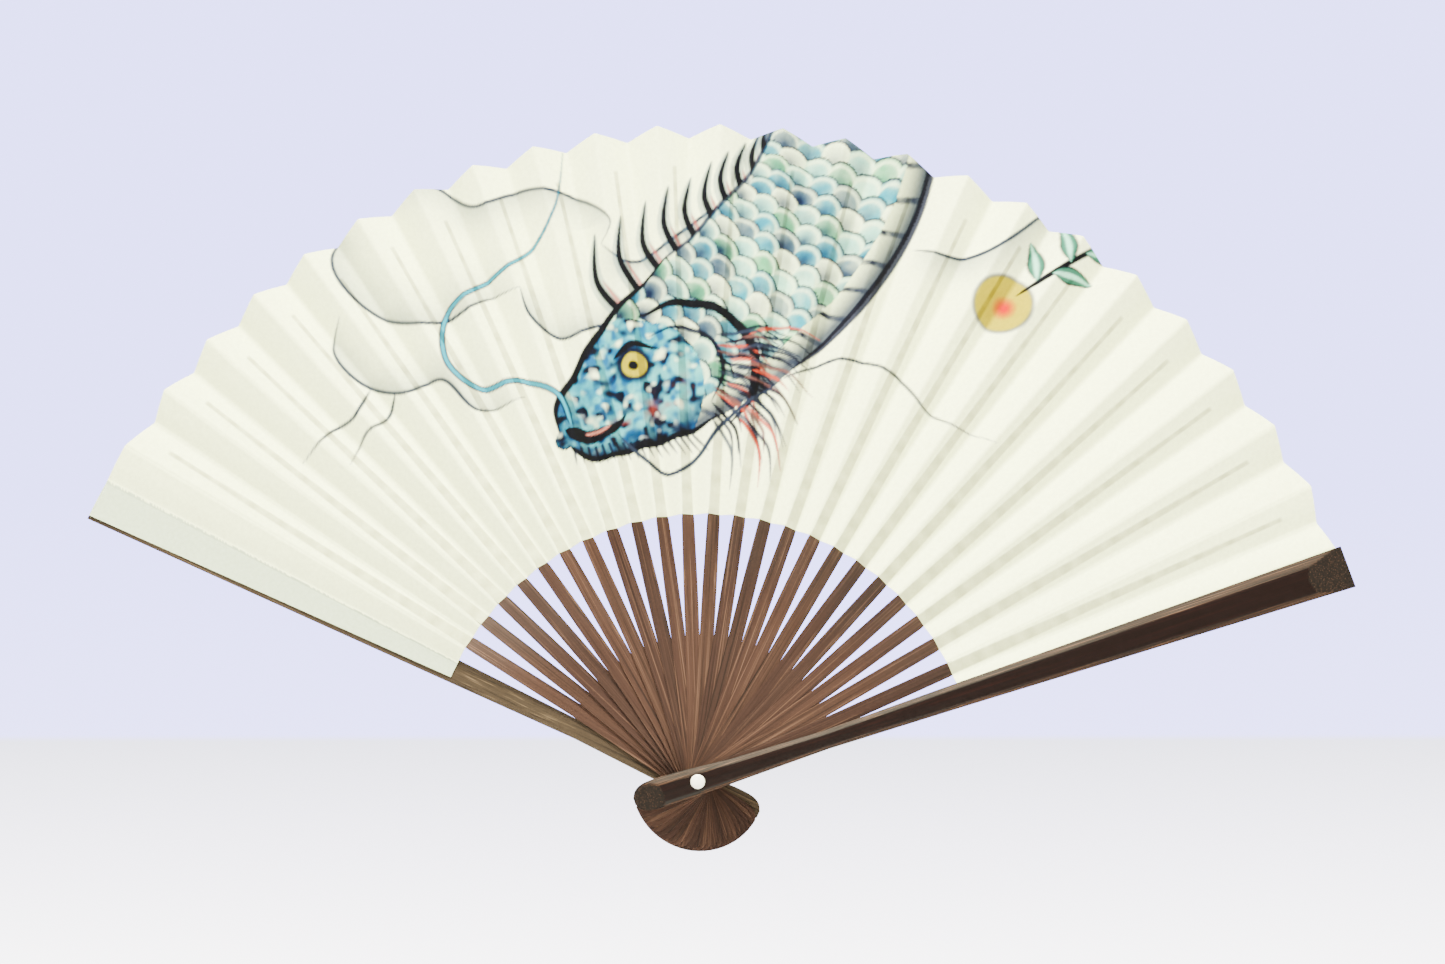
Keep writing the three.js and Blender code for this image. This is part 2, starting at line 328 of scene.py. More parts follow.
def finish_guard_faces(piece, k):
    """Gives each face the finish of the place it lies on."""
    side = 1 if k == FRONT else -1
    angle = math.radians(stick_angle(k))
    c, s = math.cos(angle), math.sin(angle)
    depth = stick_depth(FRONT - 1 if k == FRONT else 1)
    for face in piece.data.polygons:
        x, y, z = face.center / MM
        reach = x * c + z * s
        width = float(guard_width(reach) * tail_narrowing(reach))
        across = 0.5 + (x * s - z * c) / width
        from_ribs = min(max(across if side > 0 else 1 - across, 0), 1)
        inner, outer, cut = guard_faces(reach, from_ribs)
        height = side * (depth - y)
        if height < (inner + outer) / 2 and abs(face.normal.y) > 0.7:
            face.material_index = INNER
        elif cut > 0 and abs(face.normal.y) > 0.3:
            face.material_index = END_GRAIN
        elif from_ribs < 0.235 or from_ribs > 0.89:
            face.material_index = SHAVED
        else:
            face.material_index = LACQUER


def make_guard(k, name):
    piece = closed_slab(name, 34, len(GUARD_STATIONS) - 1, guard_points(k))
    drill(piece)
    finish_guard_faces(piece, k)
    ease_edges(piece, 0.12)
    return piece


def make_rivet():
    """A rod with a low dome on each side, made of one profile spun about the Y axis."""
    face = stick_depth(1) + GUARD_PIVOT_ROOM + 2.4 + HEAD_GAP
    bm = bmesh.new()
    turns = np.radians(np.linspace(0, 90, 13))
    dome = [(HEAD_RADIUS * math.sin(t), face + HEAD_HEIGHT * math.cos(t)) for t in turns]
    rim = [(HEAD_RADIUS - 0.06, face - 0.06), (ROD_RADIUS, face - 0.06)]
    half = dome + rim
    profile = half + [(r, -y) for r, y in reversed(half)]
    verts = [bm.verts.new((r * MM, y * MM, 0)) for r, y in profile]
    edges = [bm.edges.new(pair) for pair in zip(verts, verts[1:])]
    bmesh.ops.spin(
        bm, geom=verts + edges, cent=(0, 0, 0), axis=(0, 1, 0), angle=math.tau, steps=48, use_merge=True
    )
    bmesh.ops.remove_doubles(bm, verts=bm.verts[:], dist=1e-7)
    bmesh.ops.recalc_face_normals(bm, faces=bm.faces[:])
    mesh = bpy.data.meshes.new("rivet_pin")
    bm.to_mesh(mesh)
    bm.free()
    mesh.shade_smooth()
    mesh.set_sharp_from_angle(angle=math.radians(40))
    return new_object("rivet_pin", mesh)


# Leaf
def fold_line(k, side):
    """Direction in radians of the fold beside stick k, and its depth at a reach, in millimetres."""
    half = panel_half(k, side)
    angle = math.radians(stick_angle(k)) + side * half
    if k in (0, FRONT):
        next_rib = 1 if k == 0 else FRONT - 1
        glued = GUARD_LEAF_ROOM - GLUE_GAP - PAPER / 2
        level = stick_depth(next_rib) + (glued if k == 0 else -glued)
        return angle, lambda reach: level + 0 * reach
    slope = side * math.tan(half) * math.tan(panel_tilt(k))
    return angle, lambda reach: stick_depth(k) - slope * reach


def leaf_reach(k, side):
    if k == 0:
        return RIDGE_REACH
    if k == FRONT:
        return RIDGE_REACH - FRONT_TRIM
    return RIDGE_REACH if side > 0 else VALLEY_REACH


def pleat_folds(k):
    """The folds across pleat k, as (stick, side), side 1 standing towards the viewer."""
    if k == FRONT:
        return [(k, 1), (k, -1)]
    return [(k, 1), (k, -1), (k + 1, 1)]


def pleat_points(k):
    folds = pleat_folds(k)
    panels = len(folds) - 1

    def place(across, through, along):
        panel = np.minimum((across * panels).astype(int), panels - 1)
        t = across * panels - panel
        angles, lows, highs, ends = [], [], [], []
        for stick, side in folds:
            angle, depth_at = fold_line(stick, side)
            end = leaf_reach(stick, side)
            angles.append(angle)
            ends.append(end)
            lows.append(depth_at(LEAF_INNER))
            highs.append(depth_at(end))
        at = across * panels
        marks = np.arange(panels + 1)
        angle = np.interp(at, marks, angles)
        reach = LEAF_INNER + along * (np.interp(at, marks, ends) - LEAF_INNER)
        depth = np.interp(at, marks, lows) * (1 - along) + np.interp(at, marks, highs) * along
        width = reach * np.abs(np.interp(panel + 1, marks, angles) - np.interp(panel, marks, angles))
        rise = fold_rounding(panel, t, width) - PANEL_BULGE * along * np.sin(np.pi * t) ** 2
        rise = np.where((panel == 0) & (k in (0, FRONT)), 0, rise)
        lifted = SLIP_RELIEF * slip_share(k, angle, reach) * (through - 0.5)
        slant = 1 if k in (0, FRONT) else math.cos(panel_tilt(k))
        depth = depth + rise + (through - 0.5) * PAPER / slant + lifted
        return np.stack([reach * np.cos(angle), depth, reach * np.sin(angle)], axis=-1)

    return place


def fold_rounding(panel, t, width):
    """How far the rounding of the folds at the panel's two sides moves the paper away from the viewer."""
    slope = math.tan(math.radians(MIDDLE_TILT)) / 2 * FOLD_ROUND
    first = slope * np.clip(1 - t * width / FOLD_ROUND, 0, 1) ** 2
    second = slope * np.clip(1 - (1 - t) * width / FOLD_ROUND, 0, 1) ** 2
    return np.where(panel == 0, first - second, second - first)


def slip_share(k, angle, reach):
    """1 over the slip between the papers, 0 beside it, with a soft edge."""
    if k in (0, FRONT):
        return np.zeros_like(reach)
    off = np.abs(angle - math.radians(stick_angle(k))) * reach / math.cos(panel_tilt(k))
    half = np.interp(reach, [SLIP_ROOT, SLIP_REACH], [SLIP_WIDTH, SLIP_TIP_WIDTH]) / 2
    return smooth((half + 0.25 - off) / 0.5) * smooth((SLIP_REACH + 0.5 - reach) / 1)


def make_pleat(k):
    columns = 22 * (len(pleat_folds(k)) - 1)
    rows = 240
    piece = closed_slab(f"paper_pleat_{k:02d}", columns, rows, pleat_points(k), layered=True)
    piece.data.shade_smooth()
    piece.data.set_sharp_from_angle(angle=math.radians(50))
    return piece


def hang_pleat(k, piece):
    """Ties the front pleat to the front guard; the other pleats are only baked in place."""
    if k == FRONT:
        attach(piece, "front_guard")
        return
    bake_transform(piece)
    points = points_of(piece.data)


def flat_size(k):
    """Width, length and area of a pleat laid flat, in metres."""
    width = area = 0
    length = (RIDGE_REACH - LEAF_INNER) * MM
    folds = [(fold_line(*f), leaf_reach(*f)) for f in pleat_folds(k)]
    for ((a0, depth0), end0), ((a1, depth1), end1) in zip(folds, folds[1:]):
        sides = []
        for r0, r1 in ((LEAF_INNER, LEAF_INNER), (end0, end1)):
            sides.append(math.hypot((r0 + r1) / 2 * (a1 - a0), depth1(r1) - depth0(r0)) * MM)
        width += sides[1]
        area += (sides[0] + sides[1]) / 2 * length
    return (width, length), area


# Materials
def linear(code):
    """A colour code such as #6b4e3e as linear red, green, blue and alpha."""
    values = [int(code[i : i + 2], 16) / 255 for i in (1, 3, 5)]
    return tuple(v / 12.92 if v <= 0.04045 else ((v + 0.055) / 1.055) ** 2.4 for v in values) + (1.0,)


def add(tree, kind, links=None, ramp=None, **settings):
    """A node of that kind. links gives its sockets values or other nodes' outputs."""
    made = tree.nodes.new(kind)
    for key, value in settings.items():
        setattr(made, key, value)
    for key, value in (links or {}).items():
        if isinstance(value, bpy.types.NodeSocket):
            tree.links.new(value, made.inputs[key])
        else:
            made.inputs[key].default_value = value
    if ramp:
        stops = made.color_ramp.elements
        while len(stops) < len(ramp):
            stops.new(0.5)
        for stop, (place, code) in zip(stops, ramp):
            stop.position = place
            stop.color = linear(code)
    return made


def new_material(name, **constants):
    material = bpy.data.materials.new(name)
    material.use_nodes = True
    shader = material.node_tree.nodes["Principled BSDF"]
    for key, value in constants.items():
        shader.inputs[key.replace("_", " ")].default_value = value
    return material, material.node_tree, shader


def fibres(tree, angle, wide, long, detail=3.0):
    """Noise drawn out along a stick: wide and long are a fibre's size in millimetres."""
    place = add(tree, "ShaderNodeTexCoord")
    scale = (wide * MM, wide * MM, long * MM)
    along = add(
        tree,
        "ShaderNodeMapping",
        {"Vector": place.outputs["Object"], "Rotation": (0, math.radians(90 - angle), 0), "Scale": scale},
        vector_type="TEXTURE",
    )
    return add(
        tree, "ShaderNodeTexNoise", {"Vector": along.outputs["Vector"], "Scale": 1.0, "Detail": detail}
    ).outputs["Fac"]


def smoked_bamboo(name, angle, dark, base, light):
    """Split and smoked bamboo: long fibres, from near black to tan, with a dull sheen.

    The fibres are drawn coarser than a real rib's, so that they show.
    """
    material, tree, shader = new_material(name, Roughness=0.5, IOR=1.5, Specular_IOR_Level=0.12)
    coarse = fibres(tree, angle, 0.75, 90)
    fine = fibres(tree, angle, 0.3, 60)
    both = add(tree, "ShaderNodeMix", {"Factor": 0.5, "A": coarse, "B": fine})
    tone = add(
        tree,
        "ShaderNodeValToRGB",
        {"Fac": both.outputs["Result"]},
        ramp=[(0.36, dark), (0.47, base), (0.55, base), (0.67, light)],
    )
    tree.links.new(tone.outputs["Color"], shader.inputs["Base Color"])
    relief = add(tree, "ShaderNodeBump", {"Height": fine, "Strength": 0.5, "Distance": 0.06 * MM})
    tree.links.new(relief.outputs["Normal"], shader.inputs["Normal"])
    return material


def dark_lacquer(name, angle):
    """Brown-black lacquer rubbed over bamboo skin: deep, glossy, with the fibres just showing."""
    material, tree, shader = new_material(name, Roughness=0.35, IOR=1.5, Specular_IOR_Level=0.16)
    tone = add(
        tree,
        "ShaderNodeValToRGB",
        {"Fac": fibres(tree, angle, 0.4, 60)},
        ramp=[(0.35, "#070202"), (0.55, "#0c0303"), (0.72, "#170706")],
    )
    tree.links.new(tone.outputs["Color"], shader.inputs["Base Color"])
    broad = fibres(tree, angle, 0.9, 30)
    relief = add(tree, "ShaderNodeBump", {"Height": broad, "Strength": 0.25, "Distance": 0.08 * MM})
    tree.links.new(relief.outputs["Normal"], shader.inputs["Normal"])
    return material


def shaved_bamboo(name, angle):
    """Bamboo shaved to a bevel and stained: open fibres, paler than the lacquer."""
    material, tree, shader = new_material(name, Roughness=0.55, IOR=1.5, Specular_IOR_Level=0.1)
    fine = fibres(tree, angle, 0.22, 40)
    tone = add(
        tree,
        "ShaderNodeValToRGB",
        {"Fac": fine},
        ramp=[(0.34, "#0e0705"), (0.5, "#1d110c"), (0.62, "#342118"), (0.72, "#593f30")],
    )
    tree.links.new(tone.outputs["Color"], shader.inputs["Base Color"])
    relief = add(tree, "ShaderNodeBump", {"Height": fine, "Strength": 0.7, "Distance": 0.1 * MM})
    tree.links.new(relief.outputs["Normal"], shader.inputs["Normal"])
    return material


def end_grain(name):
    """Bamboo cut across the grain: dark, dull, with the pale dots of its vessels."""
    material, tree, shader = new_material(name, Roughness=0.6, IOR=1.5, Specular_IOR_Level=0.1)
    place = add(tree, "ShaderNodeTexCoord")
    dots = add(
        tree,
        "ShaderNodeTexVoronoi",
        {"Vector": place.outputs["Object"], "Scale": 1 / (0.55 * MM), "Randomness": 1.0},
    )
    tone = add(
        tree,
        "ShaderNodeValToRGB",
        {"Fac": dots.outputs["Distance"]},
        ramp=[(0.1, "#38261d"), (0.24, "#160c09"), (0.5, "#0c0504"), (0.8, "#070302")],
    )
    tree.links.new(tone.outputs["Color"], shader.inputs["Base Color"])
    relief = add(
        tree, "ShaderNodeBump", {"Height": dots.outputs["Distance"], "Strength": 0.6, "Distance": 0.1 * MM}
    )
    tree.links.new(relief.outputs["Normal"], shader.inputs["Normal"])
    return material


def white_plastic(name):
    """Turned white plastic of the rivet's heads: smooth and softly glossy."""
    material, tree, shader = new_material(name, Roughness=0.3, IOR=1.49)
    place = add(tree, "ShaderNodeTexCoord")
    cloud = add(tree, "ShaderNodeTexNoise", {"Vector": place.outputs["Object"], "Scale": 1 / (1.5 * MM)})
    tone = add(
        tree, "ShaderNodeValToRGB", {"Fac": cloud.outputs["Fac"]}, ramp=[(0.3, "#e9e6dd"), (0.7, "#f4f2ec")]
    )
    tree.links.new(tone.outputs["Color"], shader.inputs["Base Color"])
    return material


def painted_paper(name):
    """Ivory mulberry paper, sized and painted: matt, with faint long fibres under the picture."""
    material, tree, shader = new_material(name, Roughness=0.85, IOR=1.45, Specular_IOR_Level=0.1)
    # The picture attribute also carries painted shade over the sticks behind the paper
    picture = add(tree, "ShaderNodeAttribute", attribute_name="picture")
    place = add(tree, "ShaderNodeTexCoord")
    pulp = add(
        tree,
        "ShaderNodeTexNoise",
        {"Vector": place.outputs["Object"], "Scale": 1 / (1.2 * MM), "Detail": 5.0},
    )
    tone = add(
        tree, "ShaderNodeValToRGB", {"Fac": pulp.outputs["Fac"]}, ramp=[(0.35, "#f4f4f0"), (0.65, "#ffffff")]
    )
    mixed = add(
        tree,
        "ShaderNodeMix",
        {"Factor": 1.0},
        data_type="RGBA",
        blend_type="MULTIPLY",
    )
    tree.links.new(picture.outputs["Color"], mixed.inputs[6])
    tree.links.new(tone.outputs["Color"], mixed.inputs[7])
    tree.links.new(mixed.outputs[2], shader.inputs["Base Color"])
    grain = pulp.outputs["Fac"]
    relief = add(tree, "ShaderNodeBump", {"Height": grain, "Strength": 0.3, "Distance": 0.03 * MM})
    tree.links.new(relief.outputs["Normal"], shader.inputs["Normal"])
    return material


# The picture, painted with brush strokes on a flat grid of cells, in millimetres in the plane of the fan
CELL = 0.3
PICTURE_LEFT = -136
PICTURE_BOTTOM = 84
PICTURE_WIDTH = 276
PICTURE_HEIGHT = 124

INK = "#15171a"
SOFT_INK = "#4d5459"
CLOUD_SHADE = "#9a9e9c"
TURQUOISE = "#4fa9c6"
PALE_TURQUOISE = "#b4dde4"
SEA_GREEN = "#7fb894"
STEEL = "#7f929c"
ORANGE = "#c8683f"
YELLOW = "#c2b400"
RED = "#c82800"
PAINT_DEPTH = (1.7, 1.7, 1.25)  # how much deeper than these colours the paint is, in each channel


def swell(t):
    """Width of a brush stroke along its tapered end, from 0 at t = 0 to 1 at t = 1."""
    return np.sin(np.clip(t, 0, 1) * math.pi / 2)


class Canvas:
    """Cells that hold the paint's colour times the paper's."""

    def __init__(self):
        x = PICTURE_LEFT + CELL * np.arange(round(PICTURE_WIDTH / CELL))
        z = PICTURE_BOTTOM + CELL * np.arange(round(PICTURE_HEIGHT / CELL))
        self.x, self.z = np.meshgrid(x, z)
        self.paint = np.ones(self.x.shape + (3,))
        self.random = np.random.RandomState(11)

    def lay(self, colour, amount):
        amount = np.clip(amount, 0, 1)[..., None]
        self.paint = self.paint * (1 - amount) + np.array(linear(colour)[:3]) * amount

    def mottle(self, size, low=0.0, high=1.0):
        """Soft blotches of that size in millimetres, between low and high."""
        total = 0
        for turn, finer in ((0.5, 1), (1.4, 1.7)):
            knots = self.random.uniform(size=(97, 97))
            i = (self.z * math.cos(turn) + self.x * math.sin(turn)) / size * finer
            j = (self.x * math.cos(turn) - self.z * math.sin(turn)) / size * finer
            i0, j0 = np.floor(i).astype(int), np.floor(j).astype(int)
            a, b = smooth(i - i0), smooth(j - j0)
            lower = knots[i0 % 97, j0 % 97] * (1 - b) + knots[i0 % 97, (j0 + 1) % 97] * b
            upper = knots[(i0 + 1) % 97, j0 % 97] * (1 - b) + knots[(i0 + 1) % 97, (j0 + 1) % 97] * b
            total = total + (lower * (1 - a) + upper * a) / 2
        return low + (high - low) * total

    def near(self, line, reach):
        """Distance to a line, place along it from 0 to 1, and distance to its left, within reach."""
        away = np.full(self.x.shape, 1e3)
        place = np.zeros(self.x.shape)
        left = np.zeros(self.x.shape)
        heading = np.gradient(line, axis=0)
        heading /= np.hypot(*heading.T)[:, None]
        for first in range(0, len(line), 12):
            run = line[first : first + 13]
            low = (run.min(axis=0) - reach - (PICTURE_LEFT, PICTURE_BOTTOM)) / CELL
            high = (run.max(axis=0) + reach - (PICTURE_LEFT, PICTURE_BOTTOM)) / CELL
            (j0, i0), (j1, i1) = np.maximum(low.astype(int), 0), np.maximum(high.astype(int) + 1, 0)
            window = (slice(i0, i1), slice(j0, j1))
            if self.x[window].size == 0:
                continue
            dx = self.x[window][..., None] - run[:, 0]
            dz = self.z[window][..., None] - run[:, 1]
            gap = np.hypot(dx, dz)
            best = gap.argmin(axis=-1)
            at = first + best
            picked = np.take_along_axis(gap, best[..., None], -1)[..., 0]
            offset = np.take_along_axis(dz, best[..., None], -1)[..., 0] * heading[at, 0]
            offset -= np.take_along_axis(dx, best[..., None], -1)[..., 0] * heading[at, 1]
            closer = picked < away[window]
            away[window] = np.where(closer, picked, away[window])
            place[window] = np.where(closer, at / (len(line) - 1), place[window])
            left[window] = np.where(closer, offset, left[window])
        return away, place, left

    def brush(self, points, width, colour, ends=(0.1, 0.3), strength=1.0):
        """A stroke through the points that thins over the given shares of its length at its two ends."""
        away, place, _ = self.near(curve(points), width)
        pressure = 0.1 + 0.9 * swell(place / max(ends[0], 1e-3)) * swell((1 - place) / max(ends[1], 1e-3))
        self.lay(colour, strength * np.clip((width / 2 * pressure - away) / 0.35 + 0.5, 0, 1))

    def cloud(self, points, width, side, strength=0.6):
        """An ink outline with a grey wash that fades away on one side of it."""
        away, place, left = self.near(curve(points), width)
        fade = np.clip(place / 0.15, 0, 1) * np.clip((1 - place) / 0.15, 0, 1)
        amount = np.clip(1 - away / width, 0, 1) ** 2 * (left * side > 0) * fade
        self.lay(CLOUD_SHADE, amount * strength * self.mottle(9, 0.7, 1.2))
        self.brush(points, 1.1, SOFT_INK, ends=(0.25, 0.3))

    def disc(self, x, z, radius, colour, soft, strength=1.0):
        away = np.hypot(self.x - x, self.z - z)
        self.lay(colour, strength * np.clip((radius - away) / soft + 0.5, 0, 1))


def curve(points, step=0.3):
    """A smooth line through the points, as places a step apart."""
    p = np.array([points[0], *points, points[-1]], float)
    made = []
    for a, b, c, d in zip(p, p[1:], p[2:], p[3:]):
        count = max(int(np.hypot(*(c - b)) / step), 2)
        t = np.linspace(0, 1, count, endpoint=False)[:, None]
        square = 2 * a - 5 * b + 4 * c - d
        cube = 3 * b - a - 3 * c + d
        made.append(0.5 * (2 * b + (c - a) * t + square * t**2 + cube * t**3))
    return np.concatenate([*made, p[-1:]])


# The carp, from its mouth to where its back leaves the sheet's upper edge
CARP_SPINE = [(-47, 103), (-35, 113), (-16, 130), (4, 148), (20, 166), (32, 187), (39, 214)]
CARP_LENGTH = 146
CARP_HALF_WIDTH = [(0, 3), (3, 8), (9, 12), (20, 17), (34, 22), (60, 26), (90, 27), (120, 26), (146, 24)]
GILL = 40


def carp_outline(side, share=1.0, first=0, last=CARP_LENGTH):
    """Points along one side of the carp, side 1 for its back and -1 for its belly."""
    spine = curve(CARP_SPINE)
    heading = np.gradient(spine, axis=0)
    heading /= np.hypot(*heading.T)[:, None]
    along = np.linspace(0, CARP_LENGTH, len(spine))
    half = np.interp(along, *zip(*CARP_HALF_WIDTH)) * share * side
    points = spine + np.stack([-heading[:, 1], heading[:, 0]], axis=1) * half[:, None]
    return points[(along >= first) & (along <= last)][::14]


def paint_scales(canvas, along, across, inside):
    """Overlapping scales in staggered rows: an ink rim, a pale band inside it and a wash of colour."""
    pitch, breadth, radius = 5.4, 8.2, 6.2
    done = np.zeros(along.shape, bool)
    shades = [TURQUOISE, PALE_TURQUOISE, STEEL, SEA_GREEN, TURQUOISE, PALE_TURQUOISE]
    wash = canvas.mottle(4, 0.5, 1.2)
    dark = canvas.mottle(12, -0.2, 1.5)
    for row in range(int(GILL / pitch) - 1, int(CARP_LENGTH / pitch) + 2):
        stagger = breadth / 2 * (row % 2)
        column = np.round((across - stagger) / breadth)
        away = np.hypot(along - row * pitch, across - stagger - column * breadth)
        here = inside & ~done & (away < radius)
        done |= here
        pick = (column.astype(int) * 5 + row * 3) % 7
        for number, shade in enumerate(shades):
            mine = here & (pick == number)
            canvas.lay(shade, mine * np.clip(1.5 - away / radius, 0, 1) * wash)
        canvas.lay("#f2f6f4", here * np.clip(1 - np.abs(away - radius + 1.7) / 0.7, 0, 1) * 0.7)
        canvas.lay("#23394a", here * np.clip(0.85 - away / radius, 0, 1) * 1.1 * dark)
        canvas.lay(INK, here * np.clip((away - radius + 0.95) / 0.5, 0, 1) * 0.9)


def paint_carp(canvas):
    spine = curve(CARP_SPINE)
    away, place, across = canvas.near(spine, 34)
    along = place * CARP_LENGTH
    half = np.interp(along, *zip(*CARP_HALF_WIDTH))
    inside = away < half
    share = across / half

    # Back fin: ink spines that lean towards the tail, with a wash between them
    for number in range(12):
        root = carp_outline(1, 0.9)[9 + 2 * number]
        length = 27 - 1.5 * number
        lean = math.radians(118 - 3 * number)
        middle = root + np.array([math.cos(lean + 0.2), math.sin(lean + 0.2)]) * length * 0.5
        tip = root + np.array([math.cos(lean - 0.1), math.sin(lean - 0.1)]) * length
        canvas.brush([root, middle, tip], 5.5, STEEL, ends=(0.1, 0.9), strength=0.5)
        canvas.brush([root, middle, tip], 2.3, INK, ends=(0.05, 0.9))
        canvas.brush([root + (1.8, 0), middle + (1.8, 0)], 1.1, ORANGE, ends=(0.2, 0.6), strength=0.6)

    # Body
    canvas.lay("#eef3ee", inside * 1.0)
    behind_gill = along > GILL + 9 - 16 * share**2
    paint_scales(canvas, along, across, inside & behind_gill & (share > -0.7))
    belly = inside & behind_gill & (share <= -0.7)
    canvas.lay("#dfe2d2", belly * 0.9)
    bars = np.abs((along + across * 0.4) % 9 - 4.5)
    canvas.lay(INK, belly * np.clip((1.1 - bars) / 0.6, 0, 1) * canvas.mottle(2, 0.4, 1.1))
    canvas.lay(SOFT_INK, belly * np.clip(-share * 5 - 3.6, 0, 1) * 0.85)

    # Head: mottled blues under ink
    head = inside & ~behind_gill
    canvas.lay("#8cc9da", head * 1.0)
    canvas.lay(TURQUOISE, head * canvas.mottle(5, -0.5, 1.5) * np.clip(share + 0.9, 0, 1))
    canvas.lay("#2f7fa6", head * canvas.mottle(3, -1.6, 2.0))
    canvas.lay("#16242e", head * canvas.mottle(3.4, -3.2, 2.6))
    canvas.lay("#f4f7f4", head * canvas.mottle(3.2, -2.4, 1.5))
    canvas.lay(ORANGE, head * np.clip(1 - np.abs(share + 0.4) / 0.25, 0, 1) * canvas.mottle(3, -0.8, 0.9))
    canvas.lay(INK, head * np.clip(1 - along / 15, 0, 1) * canvas.mottle(2.2, 0.1, 1.2))
    canvas.lay(INK, head * np.clip(-share * 3 - 1.7, 0, 1) * canvas.mottle(2.6, 0.2, 1.3))

    # Gill cover, and the rays of the fin behind it
    canvas.brush([(-27, 143), (-13, 148), (1, 144), (9, 133), (9, 119), (3, 111)], 3.0, INK, ends=(0.3, 0.3))
    cheek = [(-24, 137), (-13, 140), (-4, 136), (0, 127), (-3, 117)]
    canvas.brush(cheek, 1.5, INK, ends=(0.4, 0.4), strength=0.9)
    shades = [INK, ORANGE, SOFT_INK, INK, "#8d6a58", INK]
    for number in range(46):
        root = np.array([3 + 6 * math.sin(number * 2.4), 139 - 0.62 * number])
        turn = math.radians(-4 - 1.5 * number + 5 * math.sin(number * 1.7))
        length = 18 + 5 * math.sin(number * 0.9)
        middle = root + np.array([math.cos(turn + 0.3), math.sin(turn + 0.3)]) * length * 0.5
        tip = root + np.array([math.cos(turn), math.sin(turn)]) * length
        canvas.brush([root, middle, tip], 1.15, shades[number % 6], ends=(0.2, 0.8), strength=0.85)

    # Outlines
    canvas.brush(carp_outline(1, last=60), 2.2, INK, ends=(0.2, 0.5))
    canvas.brush(carp_outline(1, first=50), 1.4, INK, ends=(0.4, 0.1), strength=0.8)
    canvas.brush(carp_outline(-1, last=44), 2.0, INK, ends=(0.1, 0.3))
    canvas.brush(carp_outline(-1, first=66), 2.8, INK, ends=(0.3, 0.1), strength=0.9)
    for number in range(18):
        root = np.array([-44 + 2.1 * number, 101 - 0.15 * number + 0.5 * number])
        canvas.brush([root, root + (1.2 + 0.25 * number, -5.5)], 0.9, INK, ends=(0.1, 0.7), strength=0.8)

    # Mouth and eye
    canvas.brush([(-47, 106), (-40, 104.5), (-33, 107), (-29, 112)], 4.4, INK, ends=(0.2, 0.7))
    canvas.brush([(-41, 105.3), (-36, 106.3), (-33, 108.5)], 1.0, "#d9a08c", ends=(0.3, 0.5), strength=0.8)
    canvas.disc(-27.5, 127.5, 5.6, INK, 1.6, 0.9)
    canvas.disc(-27.3, 127.3, 3.9, YELLOW, 0.5)
    canvas.disc(-27.6, 127.0, 1.5, INK, 0.4)
    canvas.brush([(-34, 129), (-28, 134), (-20, 133)], 2.2, INK, ends=(0.4, 0.6))


def paint_picture():
    canvas = Canvas()
    canvas.cloud(
        [(-108, 175), (-94, 181), (-80, 175), (-66, 181), (-50, 180), (-38, 173), (-40, 165)], 16, -1
    )
    canvas.cloud([(-40, 165), (-32, 160), (-22, 164), (-10, 175), (8, 182)], 14, -1)
    canvas.cloud(
        [(-117, 170), (-123, 157), (-117, 146), (-104, 138), (-88, 138), (-74, 146), (-64, 150)], 20, 1
    )
    canvas.cloud([(-64, 150), (-60, 141), (-50, 135), (-38, 140), (-26, 144)], 14, 1)
    canvas.cloud(
        [(-119, 138), (-120, 127), (-111, 118), (-98, 115), (-86, 120), (-74, 111), (-60, 116)], 16, 1
    )
    canvas.cloud([(56, 168), (70, 166), (82, 170), (94, 180), (100, 186)], 15, -1)
    canvas.brush([(-108, 116), (-112, 107), (-119, 102), (-127, 92)], 1.1, SOFT_INK, ends=(0.2, 0.6))
    canvas.brush([(-100, 115), (-102, 107), (-108, 102), (-112, 92)], 1.0, SOFT_INK, ends=(0.2, 0.6))
    paint_carp(canvas)

    # Feelers
    for width, colour in ((2.1, INK), (1.2, TURQUOISE)):
        upper = [
            (-45, 107), (-50, 117), (-62, 121), (-74, 118), (-85, 126), (-86, 141), (-74, 152), (-62, 162)
        ]
        canvas.brush([*upper, (-55, 176), (-54, 194)], width, colour, ends=(0.05, 0.7))
    trail = [(-31, 106), (-22, 98), (-14, 94), (-6, 100), (2, 112), (18, 125)]
    canvas.brush(trail, 1.3, SOFT_INK, ends=(0.2, 0.3))
    canvas.brush([(18, 125), (36, 132), (52, 128), (64, 116), (84, 108)], 1.0, SOFT_INK, ends=(0.2, 0.6))

    # Sun and a sprig of leaves
    canvas.disc(84, 152, 9.5, INK, 1.0, 0.7)
    canvas.disc(84, 152, 8.7, YELLOW, 1.0)
    canvas.disc(84.5, 151, 2.4, RED, 3.5)
    canvas.brush([(88, 155), (100, 163), (112, 171), (124, 178)], 1.8, INK, ends=(0.3, 0.2))
    leaves = [
        (94, 160, 100), (99, 162, -12), (104, 166, 105), (109, 169, -5), (115, 173, 110), (119, 175, 8)
    ]
    for x, z, turn in leaves:
        heading = np.array([math.cos(math.radians(turn)), math.sin(math.radians(turn))])
        tip = np.array([x, z]) + heading * 12
        for width, colour in ((6.0, INK), (4.8, "#5f8f78"), (1.8, PALE_TURQUOISE)):
            middle = (np.array([x, z]) + tip) / 2 + (0.6, 0.6)
            canvas.brush([(x, z), middle, tip], width, colour, ends=(0.5, 0.7))
    return canvas.paint ** np.array(PAINT_DEPTH)


